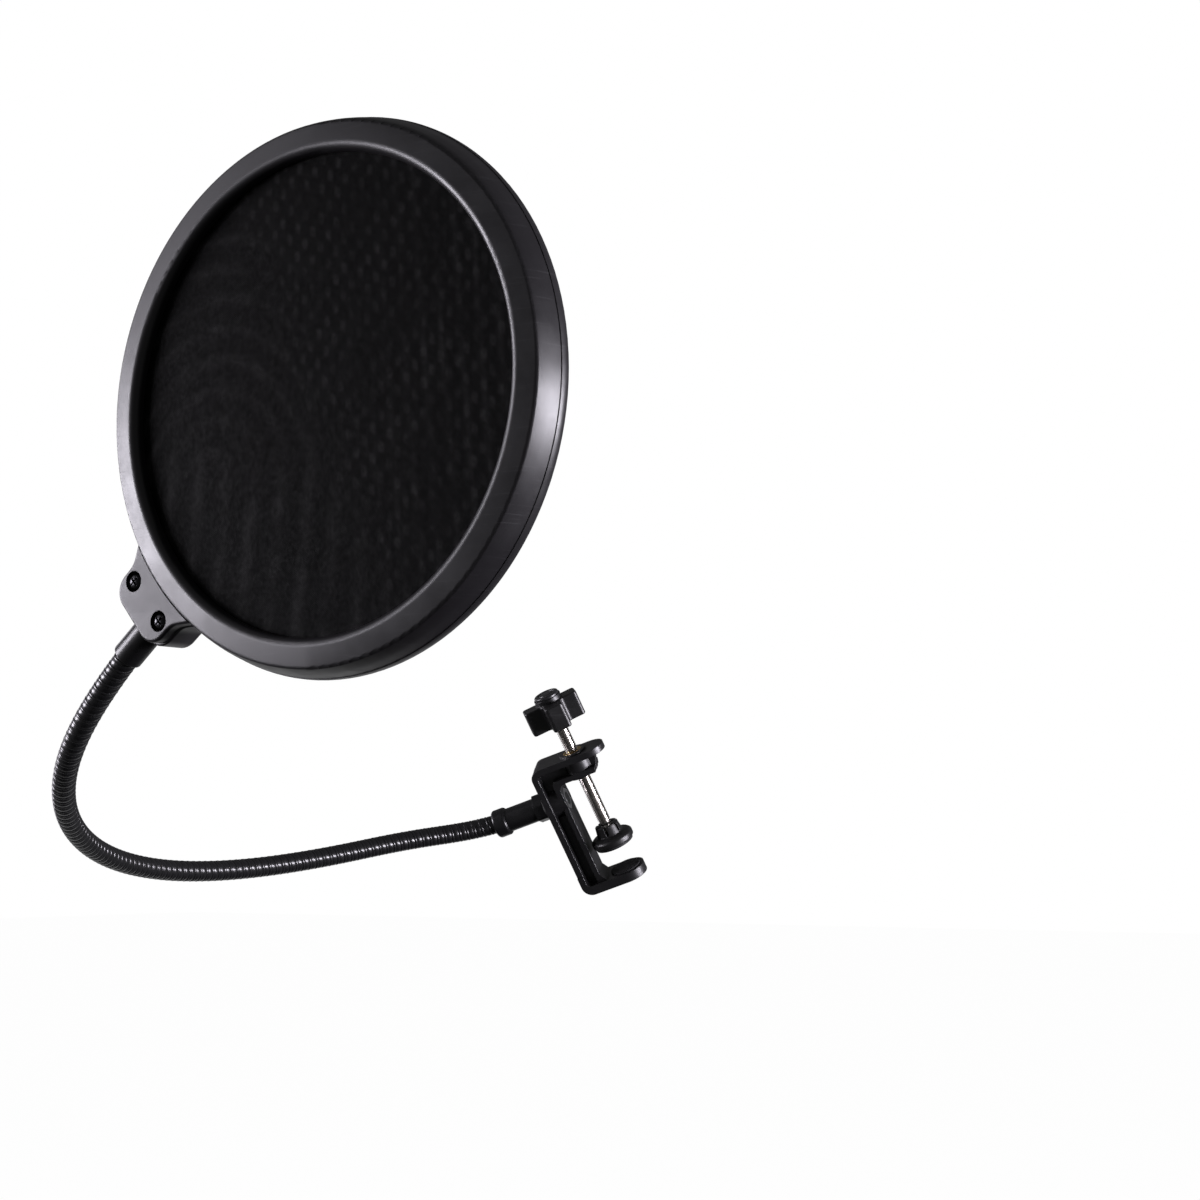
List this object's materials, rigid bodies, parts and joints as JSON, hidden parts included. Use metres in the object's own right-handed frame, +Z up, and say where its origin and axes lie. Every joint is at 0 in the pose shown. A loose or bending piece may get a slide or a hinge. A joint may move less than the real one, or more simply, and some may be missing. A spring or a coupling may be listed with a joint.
{
  "type": "pop filter",
  "caption": "Round double-mesh pop filter on a flexible steel gooseneck with a screw clamp that grips a microphone stand or boom arm.",
  "frame": {"origin": "centre of the fixed jaw's gripping face, on the clamp screw's axis", "axes": "+Z up, the hoop's axis along Y with its front (singer's) face towards -Y, +X to the right seen from the front; the clamp screw points up and leans towards -Y, as the filter is posed on its boom"},
  "size_m": [0.2507, 0.2882, 0.2193],
  "materials": {
    "shell_plastic": "satin, fine moulded texture",
    "mesh_fabric": "black knitted nylon",
    "inner_plastic": "matt",
    "black_screws": "black zinc",
    "gooseneck_steel": "semi-gloss black coating on spring steel",
    "ferrule_steel": "satin black coating",
    "clamp_plastic": "satin glass-filled nylon",
    "knob_plastic": "satin",
    "cap_plastic": "semi-gloss",
    "screw_steel": "nickel-plated steel",
    "insert_brass": "machined brass",
    "rubber": "soft matt",
    "zinc_steel": "zinc-plated steel"
  },
  "bodies": {
    "clamp": {"clamp_body": "clamp_plastic", "jaw_rubber": "rubber", "threaded_insert": "insert_brass", "clamp_ferrule": "ferrule_steel", "ferrule_washer": "zinc_steel", "ferrule_nut": "zinc_steel", "gooseneck_10": "gooseneck_steel"},
    "neck_9": {"gooseneck_9": "gooseneck_steel"},
    "neck_8": {"gooseneck_8": "gooseneck_steel"},
    "neck_7": {"gooseneck_7": "gooseneck_steel"},
    "neck_6": {"gooseneck_6": "gooseneck_steel"},
    "neck_5": {"gooseneck_5": "gooseneck_steel"},
    "neck_4": {"gooseneck_4": "gooseneck_steel"},
    "neck_3": {"gooseneck_3": "gooseneck_steel"},
    "neck_2": {"gooseneck_2": "gooseneck_steel"},
    "head": {"gooseneck_1": "gooseneck_steel", "hoop_ferrule": "ferrule_steel", "front_ring": "shell_plastic", "rear_ring": "shell_plastic", "mesh_spacer_ring": "inner_plastic", "front_mesh": "mesh_fabric", "rear_mesh": "mesh_fabric", "boss_screws": "black_screws"},
    "pad": {"swivel_pad": "clamp_plastic", "pad_rubber": "rubber"},
    "screw": {"clamp_screw": "screw_steel", "knob": "knob_plastic", "knob_cap": "cap_plastic"}
  },
  "joints": [
    {"name": "bend_9", "type": "hinge", "parent": "clamp", "child": "neck_9", "pos_m": [-0.04956, -0.03667, 0.01291], "axis": [-0.7056, 0.6434, 0.297], "range_deg": [-25, 25]},
    {"name": "bend_8", "type": "hinge", "parent": "neck_9", "child": "neck_8", "pos_m": [-0.06817, -0.06659, 0.00716], "axis": [-0.1417, 0.2567, -0.9561], "range_deg": [-25, 25]},
    {"name": "bend_7", "type": "hinge", "parent": "neck_8", "child": "neck_7", "pos_m": [-0.07944, -0.10011, 0.00144], "axis": [0.9571, -0.2047, -0.205], "range_deg": [-25, 25]},
    {"name": "bend_6", "type": "hinge", "parent": "neck_7", "child": "neck_6", "pos_m": [-0.08443, -0.13546, -0.00125], "axis": [0.1915, -0.0293, 0.9811], "range_deg": [-25, 25]},
    {"name": "bend_5", "type": "hinge", "parent": "neck_6", "child": "neck_5", "pos_m": [-0.08189, -0.17112, 0.0001], "axis": [-0.9665, -0.1609, 0.2002], "range_deg": [-25, 25]},
    {"name": "bend_4", "type": "hinge", "parent": "neck_5", "child": "neck_4", "pos_m": [-0.07137, -0.2048, 0.00598], "axis": [-0.1286, -0.298, -0.9458], "range_deg": [-25, 25]},
    {"name": "bend_3", "type": "hinge", "parent": "neck_4", "child": "neck_3", "pos_m": [-0.05403, -0.23429, 0.01643], "axis": [0.8242, 0.4898, -0.2843], "range_deg": [-25, 25]},
    {"name": "bend_2", "type": "hinge", "parent": "neck_3", "child": "neck_2", "pos_m": [-0.03115, -0.25679, 0.0321], "axis": [-0.1363, 0.6229, 0.7703], "range_deg": [-25, 25]},
    {"name": "bend_1", "type": "hinge", "parent": "neck_2", "child": "head", "pos_m": [-0.00461, -0.26771, 0.05326], "axis": [-0.541, -0.6795, 0.4955], "range_deg": [-25, 25]},
    {"name": "screw_travel", "type": "slide", "parent": "clamp", "child": "pad", "axis": [-0.153, -0.4892, 0.8587], "range_m": [-0.0097, 0.0165]},
    {"name": "screw_turn", "type": "hinge", "parent": "pad", "child": "screw", "pos_m": [0, 0, 0], "axis": [-0.153, -0.4892, 0.8587], "range_deg": [-4560, 7680]}
  ],
  "couplings": [
    {"joint": "screw_turn", "follows": "screw_travel", "rad_per_m": 7854}
  ]
}
